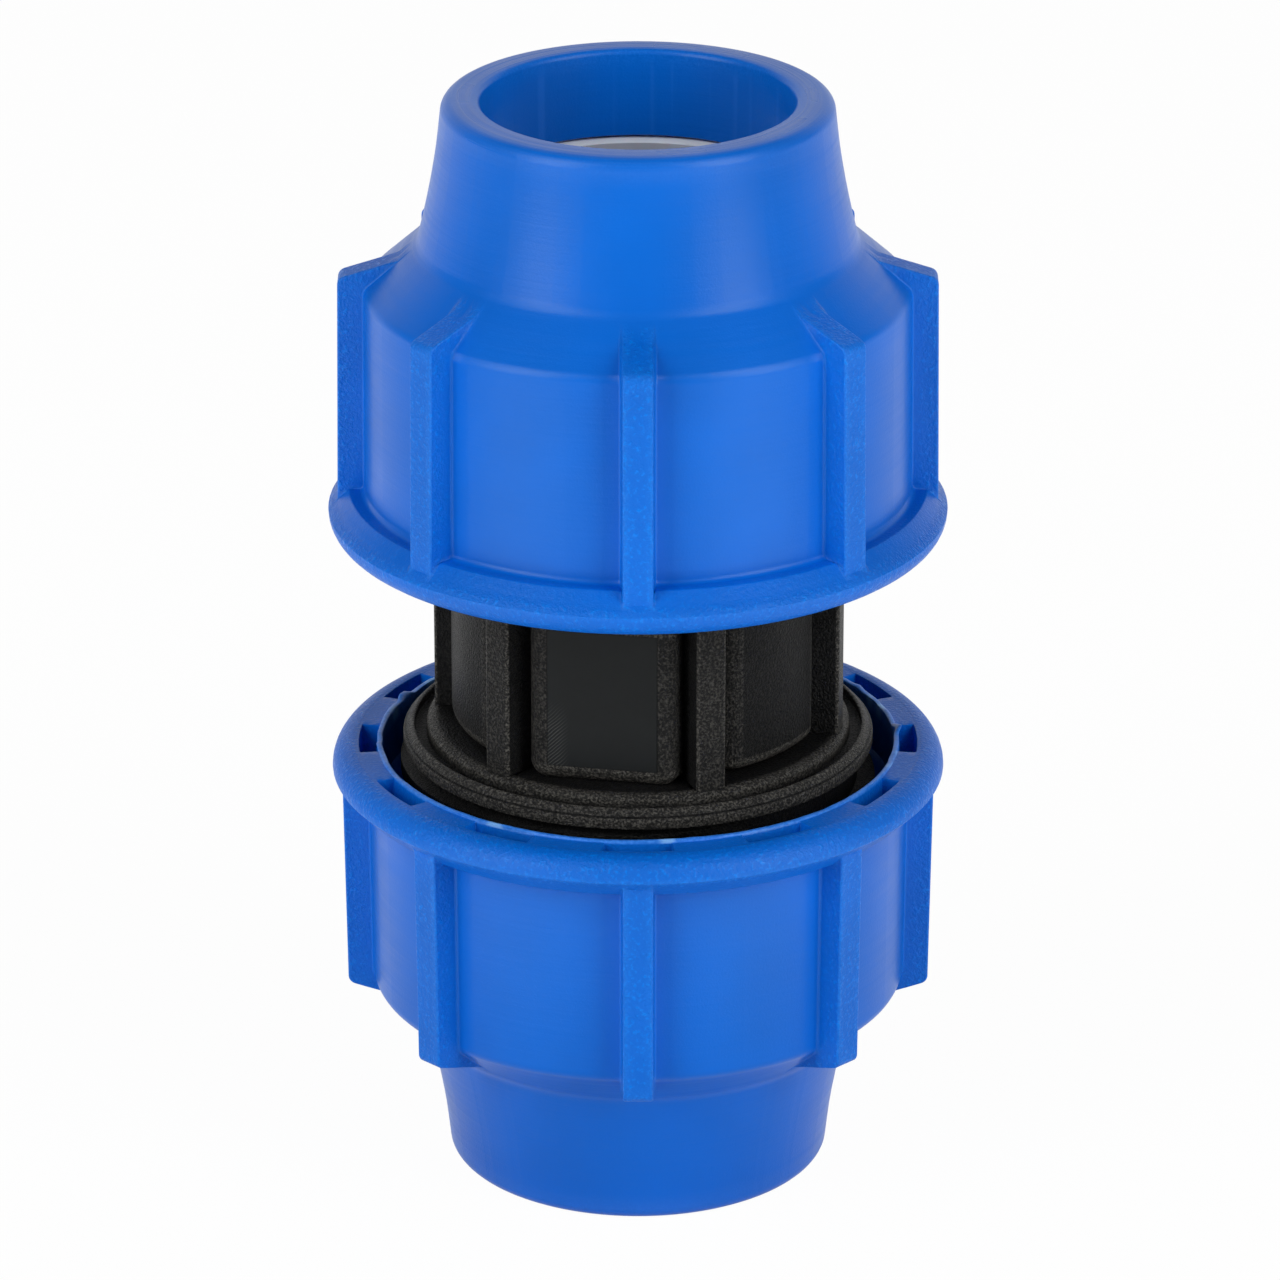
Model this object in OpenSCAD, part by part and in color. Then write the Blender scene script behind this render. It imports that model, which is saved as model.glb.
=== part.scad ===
// Compression coupling for plastic water pipe: one ribbed body with a coarse thread on each end,
// two identical screw nuts, and in each nut a split grip ring, a thrust bush and an O-ring.
// The coupling stands upright on the end face of its lower nut, and Z is its axis.
// Each end is drawn in a frame of its own that starts at the middle of the body and points
// outward, so both ends use the same modules.

/* [Pipe] */
// Outside diameter of the pipe that the coupling joins
pipe_d = 32; // [28:0.5:36]
// Play all round the pipe in the sockets of the body
socket_clearance = 0.2; // [0.1:0.05:0.35]
// Play all round the pipe in the entry of each nut
entry_clearance = 0.4; // [0.3:0.05:0.8]
// How far the pipe stop stands in from the socket wall
stop_ledge = 2.7; // [1.5:0.1:4]
// Length of the pipe stop along the axis
stop_len = 4; // [2:0.5:8]

/* [Assembly] */
// Gap between the open faces of the two nuts as the coupling stands
nut_gap = 24.6; // [23:0.2:27]
// How far each nut still screws in before the bush meets the body
tighten_travel = 5; // [2:0.5:6]
// Gap that curved pieces keep from each other
loose_gap = 0.3; // [0.2:0.05:0.5]

/* [Body] */
// Wall between the pipe socket and the outside of the waist
waist_wall = 2.2; // [1.6:0.1:3]
// Half length of the waist, from the middle to the ledge at its foot
waist_half = 9.45; // [8.5:0.05:10]
// Width of the long ribs on the waist
body_rib_w = 3.3; // [2:0.1:4.5]
// How far the long ribs stand out from the waist
body_rib_h = 3.6; // [2.5:0.1:4.2]
// Angle from the middle of a flat pad to the ribs on both its sides
pad_rib_angle = 31.5; // [28:0.5:33]
// Turn of the body, so that a flat pad looks to the front and a little to the left
body_turn = -11; // [-30:1:30]
// Width of the flat pads
flat_pad_w = 11.9; // [8:0.1:13]
// Height of the flat pads above the waist
flat_pad_h = 1.2; // [1:0.1:2]
// Width of the curved pads between the other ribs
side_pad_w = 11.2; // [7:0.1:12]
// Height of the curved pads above the waist
side_pad_h = 1.5; // [1:0.1:2]
// Width of the bevel round each pad
pad_bevel = 1.85; // [1:0.05:2]
// Thickness of the collar behind each thread
collar_t = 2.15; // [1.5:0.05:3]
// How far the collar stays inside the crest of the thread
collar_inset = 0.3; // [0:0.05:1]
// Width of the groove in front of the collar
collar_groove_w = 1.5; // [0.8:0.1:2]
// Depth of the groove in front of the collar
collar_groove_depth = 0.65; // [0.3:0.05:1]
// Width of the bevel on the collar
collar_bevel = 0.75; // [0.3:0.05:1]

/* [Thread] */
// Rise of the thread in one turn
thread_pitch = 5; // [4:0.25:6]
// Depth of the thread on the body
thread_depth = 1.9; // [1.2:0.1:2.2]
// Width of the thread at its crest
thread_crest = 1.5; // [1:0.1:1.8]
// Lean of the thread's flanks, in degrees
thread_lean = 16; // [10:1:20]
// Play between the flanks of the two threads, along the axis
flank_play = 0.35; // [0.25:0.05:0.5]
// Play between the crest of one thread and the root of the other
crest_play = 0.5; // [0.4:0.05:0.8]
// Wall between the seal chamber and the root of the thread
thread_wall = 3.05; // [2:0.05:4]
// Plain length at the outer end of the body's thread
thread_end_len = 2.2; // [1.5:0.1:4]

/* [Seal] */
// Thickness of the O-ring's cord
cord_d = 4; // [3:0.1:5]
// Play of the O-ring in its chamber
cord_play = 0.15; // [0.1:0.05:0.3]

/* [Thrust bush] */
// Thickness of the bush's flange
bush_flange_t = 2.2; // [1.5:0.1:3]
// How far the flange stands out from the nose
bush_flange_h = 2.4; // [1.5:0.1:3]
// How far the nose already sits in the seal chamber
nose_in = 1.2; // [0.8:0.1:3]

/* [Grip ring] */
// Length of the split grip ring
grip_len = 11.5; // [9:0.5:14]
// Wall of the grip ring at its thin end
grip_wall = 2.25; // [1.8:0.05:3]
// Taper of the ring and of its seat in the nut, in degrees
grip_taper = 13; // [9:0.5:15]
// Width of the slit
grip_slit = 3.2; // [1.5:0.1:5]
// Turn of the slit round the axis
slit_turn = 240; // [0:5:355]
// Number of gripping teeth
grip_teeth = 5; // [3:1:6]
// Depth of the gripping teeth
tooth_depth = 0.6; // [0.3:0.05:0.9]

/* [Nut] */
// Length of a nut
nut_len = 47.4; // [46:0.2:52]
// Length of the pipe entry at the end of a nut
entry_len = 9.5; // [8:0.1:12]
// Wall round the pipe entry
rim_wall = 4.05; // [3.2:0.05:5]
// Length of the slightly tapered neck
neck_len = 15.5; // [15:0.1:16.5]
// How much the neck has grown at its foot
neck_flare = 2.65; // [2:0.05:3]
// Length of the sloping shoulder along the axis
shoulder_len = 4.8; // [4:0.1:6]
// Wall between the nut's thread and its drum
nut_wall = 2.65; // [2:0.05:3.5]
// Draft of the drum over its length
drum_draft = 0.2; // [0:0.05:0.4]
// Number of grip ribs on a nut
nut_ribs = 8; // [6:1:10]
// Width of the grip ribs
nut_rib_w = 3.3; // [2:0.1:4.5]
// How far the grip ribs stand out from the drum
nut_rib_h = 2.8; // [1.8:0.1:3.2]
// Extra height of the grip ribs at the flange
nut_rib_draft = 0.35; // [0:0.05:0.5]
// How far the flange stands out from the drum
flange_reach = 4.15; // [3.9:0.05:5]
// Thickness of the flange
flange_t = 4.7; // [4.7:0.1:6]
// Bevel on the back of the flange
flange_bevel = 2.2; // [1.5:0.1:2.2]
// Rounding on the front of the flange
flange_round = 2.4; // [1:0.1:2.4]
// Number of pockets in the open face
pockets = 12; // [8:1:14]
// Width of a pocket round the face, in degrees
pocket_angle = 14.6; // [10:0.2:20]
// Width of a pocket across the face
pocket_w = 1.9; // [1:0.1:2.2]
// Depth of a pocket
pocket_depth = 3.4; // [1:0.1:3.8]
// Thickness of the lip between the pockets and the mouth
lip_t = 0.6; // [0.5:0.05:1]
// How much wider the mouth is than the nut's thread
mouth_relief = 1.4; // [1:0.1:1.8]
// Depth of the mouth
mouth_len = 5.5; // [5:0.1:7]

/* [Hidden] */
$fn = 96;
// Steps along a rounded corner, and steps of a thread round one turn
corner_steps = 4;
thread_steps = 48;
// Steps over which a thread runs out at each end, and the plain band beyond it
thread_fade = 8;
thread_margin = 0.2;
// The threaded sleeve's thickness, the depth of its bed, how far its ends reach into the plain
// bands, and how far those bands stand proud of its root
sleeve_t = 1.4;
sleeve_bed = 0.8;
sleeve_bite = 0.6;
band_step = 0.05;
// Length of the plain bands beyond the nut's thread
band_len = 0.8;
// Gap between a piece and the wall or floor that it sits on
seat_gap = 0.05;
// How far ribs and pads reach into what carries them, and how far cuts run past the faces they open
weld = 0.8;
overcut = 1;

// Bevels and roundings of the turned edges
mouth_cone = 1.5;
step_cone = 2;
end_bevel = 0.8;
chamber_bevel = 0.6;
stop_bevel = 0.6;
rim_round = 1.3;
rim_inner_round = 0.6;
shoulder_round = 1;
neck_round = 1.5;
rib_round = 1.2;
small_round = 0.3;
edge_bevel = 0.5;
ledge_reach = 4.2;
// How far the collar's face stands over the ledge, and how far the grip ring's wide end stands
// out of its conical seat
collar_rise = 0.1;
seat_short = 0.5;
// Share of a tooth that its long flank takes
tooth_flank = 0.75;
// Where a grip rib starts on the shoulder, and how far above the drum's edge its slope ends
rib_start = 1.9;
rib_rise = 1.1;

// Radii, from the pipe outward
socket_r = pipe_d / 2 + socket_clearance;
entry_r = pipe_d / 2 + entry_clearance;
stop_r = socket_r - stop_ledge;
grip_r = entry_r - seat_gap;
cord_in_r = socket_r + cord_play;
chamber_r = cord_in_r + cord_d + cord_play;
root_r = chamber_r + thread_wall;
crest_r = root_r + thread_depth;
collar_r = crest_r - collar_inset;
waist_r = socket_r + waist_wall;
nut_root_r = crest_r + crest_play;
nut_crest_r = root_r + crest_play;
nose_r = chamber_r - loose_gap;
bush_r = nose_r + bush_flange_h;
mouth_r = nut_root_r + mouth_relief;
drum_r = nut_root_r + nut_wall;
flange_r = drum_r + flange_reach;
nut_rib_r = drum_r + nut_rib_h;
rim_r = entry_r + rim_wall;
neck_r = rim_r + neck_flare;
pocket_r = mouth_r + lip_t;
seat_r = grip_r + grip_wall + loose_gap;

// Heights in the frame of one end, from the middle of the body outward
nut_face = nut_gap / 2;
nut_end = nut_face + nut_len;
entry_z = nut_end - entry_len;
neck_z = nut_end - neck_len;
shoulder_z = neck_z - shoulder_len;
grip_top = entry_z - loose_gap;
grip_z = grip_top - grip_len;
step_z = grip_z + seat_short;
bush_z = grip_z - bush_flange_t;
body_end = bush_z - tighten_travel - loose_gap;
nose_z = body_end - nose_in;
cord_z = nose_z - tighten_travel - loose_gap - cord_d / 2;
chamber_z = cord_z - cord_d / 2 - seat_gap;
collar_face = waist_half + collar_rise;
collar_z = waist_half + collar_t;
thread_end = body_end - thread_end_len;
flange_top = nut_face + flange_t;
mouth_z = nut_face + mouth_len;
nut_thread_z = mouth_z + mouth_cone + band_len;
nut_thread_end = step_z - step_cone - band_len;
middle = nut_end;

// Outlines
function unit(v) = v / norm(v);
function flat(p) = [p[0], p[1]];
// The arc that rounds corner p between points a and b
function corner(a, p, b, r) =
    let (
        u = unit(a - p),
        v = unit(b - p),
        half = acos(u * v) / 2,
        centre = p + unit(u + v) * r / sin(half),
        from = p + u * r / tan(half) - centre,
        to = p + v * r / tan(half) - centre,
        start = atan2(from[1], from[0]),
        raw = atan2(to[1], to[0]) - start,
        turn = raw > 180 ? raw - 360 : raw < -180 ? raw + 360 : raw
    )
    [for (k = [0 : corner_steps]) centre + r * [cos(start + turn * k / corner_steps),
                                                sin(start + turn * k / corner_steps)]];
// An outline from points [x, y] with sharp corners and [x, y, radius] with rounded ones
function outline(pts) = [
    for (i = [0 : len(pts) - 1])
        let (n = len(pts), p = pts[i])
        each len(p) < 3 ? [p] :
            corner(flat(pts[(i + n - 1) % n]), flat(p), flat(pts[(i + 1) % n]), p[2])
];

// Threads: both follow one right-hand helix, and the nut's thread lies half a turn further on
function body_half(r) = thread_crest / 2 + tan(thread_lean) * (crest_r - r);
function nut_half(r) = thread_pitch / 2 - body_half(r) - flank_play;

// A sleeve with a thread on one side, from height low to height high. The thread rises from
// radius root to radius crest, and the other side of the sleeve is plain at radius back.
// It starts and ends in a plain band, and its helix passes height shift at angle 0.
module threaded_sleeve(low, high, shift, back, root, crest, root_half, crest_half) {
    turn = thread_steps;
    start = low + root_half + thread_margin;
    n = floor((high - root_half - thread_margin - start) / thread_pitch * turn);
    first = (start - shift) / thread_pitch * 360;
    last = n - turn;

    function at(i, r, z) = [r * cos(first + i * 360 / turn), r * sin(first + i * 360 / turn), z];
    function fade(i) = min(1, i / thread_fade, (n - i) / thread_fade);
    function station(i) =
        let (z = start + thread_pitch * i / turn, r = root + (crest - root) * fade(i))
        [at(i, root, z - root_half), at(i, r, z - crest_half),
         at(i, r, z + crest_half), at(i, root, z + root_half)];
    points = concat(
        [for (i = [0 : n]) each station(i)],
        [for (q = [[root, low], [root, high], [back, low], [back, high]])
            for (j = [0 : turn - 1]) at(j, q[0], q[1])]
    );

    // Point k of the thread's section at station i, and point j of a plain ring
    function h(i, k) = 4 * i + k;
    function ring(r, j) = 4 * (n + 1) + r * turn + j % turn;
    thread = [for (i = [0 : n - 1]) for (k = [0 : 2])
        each [[h(i, k), h(i, k + 1), h(i + 1, k)], [h(i + 1, k), h(i, k + 1), h(i + 1, k + 1)]]];
    roots = [for (i = [0 : last - 1]) [h(i, 3), h(i + turn, 0), h(i + turn + 1, 0), h(i + 1, 3)]];
    low_band = [for (j = [0 : turn - 2]) [ring(0, j), h(j, 0), h(j + 1, 0), ring(0, j + 1)]];
    low_seam = [ring(0, turn - 1), h(turn - 1, 0), h(turn, 0), h(0, 3), h(0, 2), h(0, 1), h(0, 0),
                ring(0, 0)];
    high_band = [for (i = [last + 1 : n - 1]) [h(i, 3), ring(1, i), ring(1, i + 1), h(i + 1, 3)]];
    high_seam = [h(last + 1, 3), h(last, 3), h(n, 0), h(n, 1), h(n, 2), h(n, 3), ring(1, last),
                 ring(1, last + 1)];
    plain = [for (j = [0 : turn - 1]) each [
        [ring(2, j), ring(2, j + 1), ring(3, j + 1), ring(3, j)],
        [ring(0, j), ring(0, j + 1), ring(2, j + 1), ring(2, j)],
        [ring(1, j), ring(3, j), ring(3, j + 1), ring(1, j + 1)]]];
    outward = concat(thread, roots, low_band, [low_seam], high_band, [high_seam], plain);
    inward = [for (f = outward) [for (i = [0 : len(f) - 1]) f[(len(f) - i) % len(f)]]];
    polyhedron(points, crest > root ? outward : inward);
}

// Places a shape of one end at the top and, turned over, at the bottom
module upper() {
    translate([0, 0, middle]) children();
}
module lower() {
    translate([0, 0, middle]) rotate([180, 0, 0]) children();
}

// The turned shape of the body, drawn for the upper half and repeated for the lower one
function body_half_outline() = [
    [waist_r, waist_half],
    [waist_r + ledge_reach, waist_half],
    [waist_r + ledge_reach, waist_half + collar_groove_depth],
    [waist_r + ledge_reach + collar_groove_w, waist_half + collar_groove_depth],
    [waist_r + ledge_reach + collar_groove_w, collar_face],
    [collar_r - collar_bevel, collar_face],
    [collar_r, collar_face + collar_bevel],
    [collar_r, collar_z],
    [root_r - sleeve_bed, collar_z],
    [root_r - sleeve_bed, thread_end],
    [root_r + band_step, thread_end],
    [root_r + band_step, body_end - end_bevel],
    [root_r - end_bevel, body_end],
    [chamber_r + chamber_bevel, body_end],
    [chamber_r, body_end - chamber_bevel],
    [chamber_r, chamber_z],
    [socket_r, chamber_z],
    [socket_r, stop_len / 2],
    [stop_r + stop_bevel, stop_len / 2],
    [stop_r, stop_len / 2 - stop_bevel]
];
module body_turned() {
    half = body_half_outline();
    n = len(half);
    rotate_extrude() polygon(concat(half, [for (i = [n - 1 : -1 : 0]) [half[i][0], -half[i][1]]]));
}

// A long rib of the waist, reaching into the ledge at both ends
module body_rib() {
    foot = waist_half + weld;
    translate([waist_r - weld, -body_rib_w / 2, -foot])
        cube([body_rib_h + weld, body_rib_w, 2 * foot]);
}

// A raised pad with a bevel on all four sides: face is the width of its top, half_turn the angle
// from its middle to the ribs that its side bevels run into, and its top is round with the waist
// or, where flat, a plane. It ends inside those ribs, a little past their middle.
module pad(face, height, half_turn, is_flat) {
    top = waist_r + height;
    base = socket_r + waist_wall / 2;
    near = is_flat ? top : sqrt(top * top - face * face / 4);
    edge = near + face / 2;
    past = half_turn + asin(body_rib_w / 8 / waist_r);
    side = edge / (cos(past) + sin(past)) * [cos(past), sin(past)];
    reach = top + overcut;
    deep = waist_half + weld;
    intersection() {
        translate([0, 0, -deep]) linear_extrude(2 * deep)
            polygon([[base, 0], side, [reach, edge - reach], [reach, reach - edge],
                     [side[0], -side[1]]]);
        rotate([90, 0, 0]) linear_extrude(2 * edge, center = true)
            polygon([[0, deep], [top - pad_bevel, deep], [top - pad_bevel, waist_half],
                     [top, waist_half - pad_bevel], [top, pad_bevel - waist_half],
                     [top - pad_bevel, -waist_half], [top - pad_bevel, -deep], [0, -deep]]);
        if (!is_flat) translate([0, 0, -deep]) cylinder(r = top, h = 2 * deep);
    }
}

module body() {
    color([0.05, 0.05, 0.05]) {
        translate([0, 0, middle]) {
            body_turned();
            rotate([0, 0, body_turn - 90]) for (side = [0, 180]) rotate([0, 0, side]) {
                for (a = [-pad_rib_angle, pad_rib_angle, 90]) rotate([0, 0, a]) body_rib();
                pad(flat_pad_w, flat_pad_h, pad_rib_angle, true);
                for (a = [-1, 1]) rotate([0, 0, a * (90 + pad_rib_angle) / 2])
                    pad(side_pad_w, side_pad_h, (90 - pad_rib_angle) / 2, false);
            }
        }
        upper() body_thread();
        lower() body_thread();
    }
}
module body_thread() {
    threaded_sleeve(collar_z - sleeve_bite, thread_end + sleeve_bite, collar_z,
        root_r - sleeve_t, root_r, crest_r, body_half(root_r), body_half(crest_r));
}

// The turned shape of a nut, from the mouth round the outside and back along the inside
module nut_turned() {
    taper = tan(grip_taper) * (entry_z - step_z);
    rotate_extrude() polygon(outline([
        [mouth_r, nut_face],
        [flange_r, nut_face, flange_round],
        [flange_r, flange_top - flange_bevel],
        [flange_r - flange_bevel, flange_top],
        [drum_r + drum_draft, flange_top, small_round],
        [drum_r, shoulder_z, shoulder_round],
        [neck_r, neck_z, neck_round],
        [rim_r, nut_end, rim_round],
        [entry_r, nut_end, rim_inner_round],
        [entry_r, entry_z],
        [seat_r, entry_z],
        [seat_r + taper, step_z],
        [nut_root_r - step_cone, step_z],
        [nut_root_r - band_step, step_z - step_cone],
        [nut_root_r - band_step, nut_thread_end],
        [nut_root_r + sleeve_bed, nut_thread_end],
        [nut_root_r + sleeve_bed, nut_thread_z],
        [nut_root_r - band_step, nut_thread_z],
        [nut_root_r - band_step, mouth_z + mouth_cone],
        [mouth_r, mouth_z]
    ]));
}

// A grip rib: its slope starts on the shoulder, and its foot stands on the flange
module nut_rib() {
    start_r = neck_r + rib_start;
    start_z = neck_z - rib_start * shoulder_len / (drum_r - neck_r);
    in_r = drum_r - weld;
    rotate([90, 0, 0]) linear_extrude(nut_rib_w, center = true) polygon(outline([
        [in_r, flange_top - flange_bevel],
        [nut_rib_r + nut_rib_draft, flange_top - flange_bevel],
        [nut_rib_r, shoulder_z + rib_rise, rib_round],
        [start_r, start_z],
        [start_r, start_z - weld],
        [in_r, shoulder_z - weld]
    ]));
}
module nut_pocket() {
    rotate([0, 0, -pocket_angle / 2]) rotate_extrude(angle = pocket_angle)
        translate([pocket_r, nut_face - overcut]) square([pocket_w, pocket_depth + overcut]);
}
module nut() {
    color([0.02, 0.3, 0.8]) {
        difference() {
            union() {
                nut_turned();
                for (i = [0 : nut_ribs - 1]) rotate([0, 0, 360 * i / nut_ribs - 90]) nut_rib();
            }
            for (i = [0 : pockets - 1]) rotate([0, 0, 360 * i / pockets - 90]) nut_pocket();
        }
        threaded_sleeve(nut_thread_z - sleeve_bite, nut_thread_end + sleeve_bite,
            collar_z + thread_pitch / 2, nut_root_r + sleeve_t, nut_root_r, nut_crest_r,
            nut_half(nut_root_r), nut_half(nut_crest_r));
    }
}

// The split ring that grips the pipe: a cone outside, teeth inside that point away from the mouth
module grip_ring() {
    tooth_len = (grip_len - 2 * edge_bevel) / grip_teeth;
    outer_r = grip_r + grip_wall;
    full_r = outer_r + tan(grip_taper) * grip_len;
    slit_y = grip_slit / 2;
    color([0.8, 0.82, 0.84]) difference() {
        rotate_extrude() polygon(concat(
            [[grip_r + edge_bevel, grip_z], [full_r - edge_bevel, grip_z],
             [full_r, grip_z + edge_bevel], [outer_r, grip_top], [grip_r + edge_bevel, grip_top]],
            [for (i = [0 : grip_teeth - 1]) each [
                [grip_r, grip_top - edge_bevel - i * tooth_len],
                [grip_r + tooth_depth, grip_top - edge_bevel - (i + tooth_flank) * tooth_len]]],
            [[grip_r, grip_z + edge_bevel]]
        ));
        rotate([0, 0, slit_turn]) translate([0, -slit_y, grip_z - overcut])
            cube([full_r + overcut, grip_slit, grip_len + 2 * overcut]);
    }
}

// The bush that passes the nut's thrust on to the O-ring, with its nose in the seal chamber
module thrust_bush() {
    color([0.08, 0.08, 0.09]) rotate_extrude() polygon([
        [grip_r, grip_z],
        [bush_r - edge_bevel, grip_z],
        [bush_r, grip_z - edge_bevel],
        [bush_r, bush_z],
        [nose_r, bush_z],
        [nose_r, nose_z + edge_bevel],
        [nose_r - edge_bevel, nose_z],
        [grip_r + edge_bevel, nose_z],
        [grip_r, nose_z + edge_bevel]
    ]);
}

module o_ring() {
    color([0.03, 0.03, 0.03]) rotate_extrude()
        translate([cord_in_r + cord_d / 2, cord_z]) circle(d = cord_d);
}

module upper_nut() { upper() nut(); }
module lower_nut() { lower() nut(); }
module upper_grip_ring() { upper() grip_ring(); }
module lower_grip_ring() { lower() grip_ring(); }
module upper_thrust_bush() { upper() thrust_bush(); }
module lower_thrust_bush() { lower() thrust_bush(); }
module upper_o_ring() { upper() o_ring(); }
module lower_o_ring() { lower() o_ring(); }

body();
upper_nut();
lower_nut();
upper_grip_ring();
lower_grip_ring();
upper_thrust_bush();
lower_thrust_bush();
upper_o_ring();
lower_o_ring();
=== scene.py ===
import math

import bmesh
import bpy
import numpy as np
from bpy.props import FloatProperty, FloatVectorProperty, IntProperty, PointerProperty
from bpy.types import Operator, Panel, PropertyGroup
from mathutils import Matrix, Vector, noise


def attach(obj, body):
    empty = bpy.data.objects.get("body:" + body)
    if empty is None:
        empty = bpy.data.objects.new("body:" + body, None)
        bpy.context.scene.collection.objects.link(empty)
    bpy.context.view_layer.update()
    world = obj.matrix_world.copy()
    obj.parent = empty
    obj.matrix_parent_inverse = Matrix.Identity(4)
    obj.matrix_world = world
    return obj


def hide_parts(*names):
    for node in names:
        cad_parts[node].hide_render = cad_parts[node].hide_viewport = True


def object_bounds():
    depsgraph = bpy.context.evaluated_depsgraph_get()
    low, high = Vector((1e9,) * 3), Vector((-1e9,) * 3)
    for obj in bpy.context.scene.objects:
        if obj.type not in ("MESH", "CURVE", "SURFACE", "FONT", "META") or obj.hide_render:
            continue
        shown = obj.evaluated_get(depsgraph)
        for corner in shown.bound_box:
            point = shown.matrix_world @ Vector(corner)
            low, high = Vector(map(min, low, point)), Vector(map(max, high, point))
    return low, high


bl_info = {
    "name": "Compression Coupling",
    "version": (1, 0, 0),
    "blender": (4, 5, 0),
    "location": "View3D > Sidebar > Coupling",
    "description": "Moulded skins, finishes and studio for a screwed pipe coupling",
    "category": "Object",
}

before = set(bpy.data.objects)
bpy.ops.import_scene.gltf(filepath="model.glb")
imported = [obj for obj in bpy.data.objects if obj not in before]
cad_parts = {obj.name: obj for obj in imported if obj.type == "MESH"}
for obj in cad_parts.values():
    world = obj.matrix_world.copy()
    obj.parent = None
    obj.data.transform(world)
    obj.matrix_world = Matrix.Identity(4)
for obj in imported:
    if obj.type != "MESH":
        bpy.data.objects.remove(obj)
CAD_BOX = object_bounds()

# Sizes of the coupling in millimetres. Each end has a frame of its own that starts at the middle
# of the body and points outward along Z, and radii are measured from the axis.
MM = 0.001
MIDDLE = (CAD_BOX[0].z + CAD_BOX[1].z) / 2 / MM
NUT_END = (CAD_BOX[1].z - CAD_BOX[0].z) / 2 / MM
NUT_FACE = NUT_END - 47.4

# The nut outside: rim, neck, shoulder, drum and flange
RIM_R, NECK_R, DRUM_R, DRUM_FOOT_R, FLANGE_R = 20.45, 23.1, 28.65, 28.85, 32.75
NECK_Z, SHOULDER_Z = NUT_END - 15.6, NUT_END - 20.55
FLANGE_TOP, FLANGE_BEVEL, FLANGE_ROUND = NUT_FACE + 4.7, 2.2, 2.4

# A grip rib's crest: its start on the shoulder, its top corner, and its foot on the flange's bevel
RIB_RUN, RIB_FOOT_R = 1.9, 31.736
RIB_START = (NECK_R + RIB_RUN, NECK_Z - RIB_RUN * (NECK_Z - SHOULDER_Z) / (DRUM_R - NECK_R))
RIB_TOP = (31.4, NUT_END - 19.3)
RIB_FOOT = (RIB_FOOT_R, FLANGE_TOP + FLANGE_R - FLANGE_BEVEL - RIB_FOOT_R)

# The nut inside: pipe entry, seat of the grip ring, step, thread and mouth
ENTRY_R, ENTRY_Z = 16.4, NUT_END - 9.5
SEAT_R, SEAT_FOOT_R = 18.9, 21.51
STEP_Z, STEP_LEAD = ENTRY_Z - 11.3, 2.0
NUT_ROOT_R, NUT_CREST_R = 25.95, 24.05
MOUTH_R, MOUTH_Z, MOUTH_LEAD = 27.35, NUT_FACE + 5.5, 1.5

# The body: pipe stop, socket, seal chamber, thread, collar, ledge, and the waist with its ribs
STOP_R, SOCKET_R, CHAMBER_R, CHAMBER_Z = 13.5, 16.2, 20.5, 20.35
ROOT_R, CREST_R, THREAD_END, BODY_END = 23.55, 25.45, 28.7, 30.9
COLLAR_R, COLLAR_Z = 25.15, 12.0
LEDGE_START, LEDGE_R = 21.2, 22.6
WAIST_R, WAIST_HALF, BODY_RIB_R = 17.6, 9.35, 22.0

# Degrees: from a flat pad to the ribs beside it, how the body is turned, and where the front is
PAD_RIB_ANGLE, BODY_TURN, FRONT = 31.5, -11.0, -90

# The threads: pitch, width of the crest, play and lean of the flanks
THREAD_PITCH, THREAD_CREST, THREAD_PLAY = 5.0, 1.5, 0.35
THREAD_LEAN = math.tan(math.radians(16))
# How deep a ridge is bedded, how far it may run into the walls at its ends, what it leaves free
# there, and the plain stretch before it in the nut
THREAD_BED, THREAD_RUN_OUT, THREAD_START, THREAD_MARGIN = 0.3, 0.6, 0.2, 0.8

# Steps of a ridge in one turn, and those over which it fades out
TURN_STEPS, FADE_STEPS = 48, 8

# Metres within which points are one, and degrees past which an edge is sharp
MERGE_DISTANCE, SHARP_ANGLE = 2e-6, 42


# ---- outlines ----

def arc(before, corner, after, radius, steps=4):
    """Points of the arc that rounds a corner of an outline."""
    a, p, b = (np.array(q[:2], float) for q in (before, corner, after))
    u = (a - p) / np.linalg.norm(a - p)
    v = (b - p) / np.linalg.norm(b - p)
    half = math.acos(float(u @ v)) / 2
    centre = p + (u + v) / np.linalg.norm(u + v) * radius / math.sin(half)
    start, end = p + u * radius / math.tan(half) - centre, p + v * radius / math.tan(half) - centre
    first = math.atan2(start[1], start[0])
    turn = (math.atan2(end[1], end[0]) - first + math.pi) % (2 * math.pi) - math.pi
    angles = [first + turn * k / steps for k in range(steps + 1)]
    return [(centre[0] + radius * math.cos(t), centre[1] + radius * math.sin(t)) for t in angles]


def between(a, b, count):
    """Points strictly between two points of an outline."""
    return [tuple(np.array(a) + (np.array(b) - np.array(a)) * k / (count + 1))
            for k in range(1, count + 1)]


class Row:
    """One ring of a moulding's skin: its radius and height, and what the surface does there."""

    def __init__(self, point, rib=None, pocket=0.0, lip=0.0, **marks):
        self.r, self.z = point
        self.rib = rib
        self.pocket = pocket
        self.lip = lip
        self.marks = marks


# ---- the nut's skin ----

# A grip rib: half its width at the crest and the foot, its edge's round and its fillet, the share
# of its crest that lies beside the drum, and the offsets of its columns. A pocket: half its width
# in degrees, its wall (degrees past the edge, share of the depth) and its depth.
RIB_HALF, RIB_FOOT_HALF = 1.58, 1.70
RIB_EDGE, RIB_FILLET, DRUM_SHARE = 0.24, 0.32, 0.93
RIB_OFFSETS = (0.0, 0.7, 1.34, 1.42, 1.49, 1.545, 1.572, 1.58, 1.70, 1.74, 1.83, 2.02)
POCKET_HALF = 7.3
POCKET_WALL = ((-0.40, 1.0), (-0.16, 0.975), (-0.06, 0.06), (0.02, 0.012), (0.16, 0.0))
POCKET_DEPTH = 3.4


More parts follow.
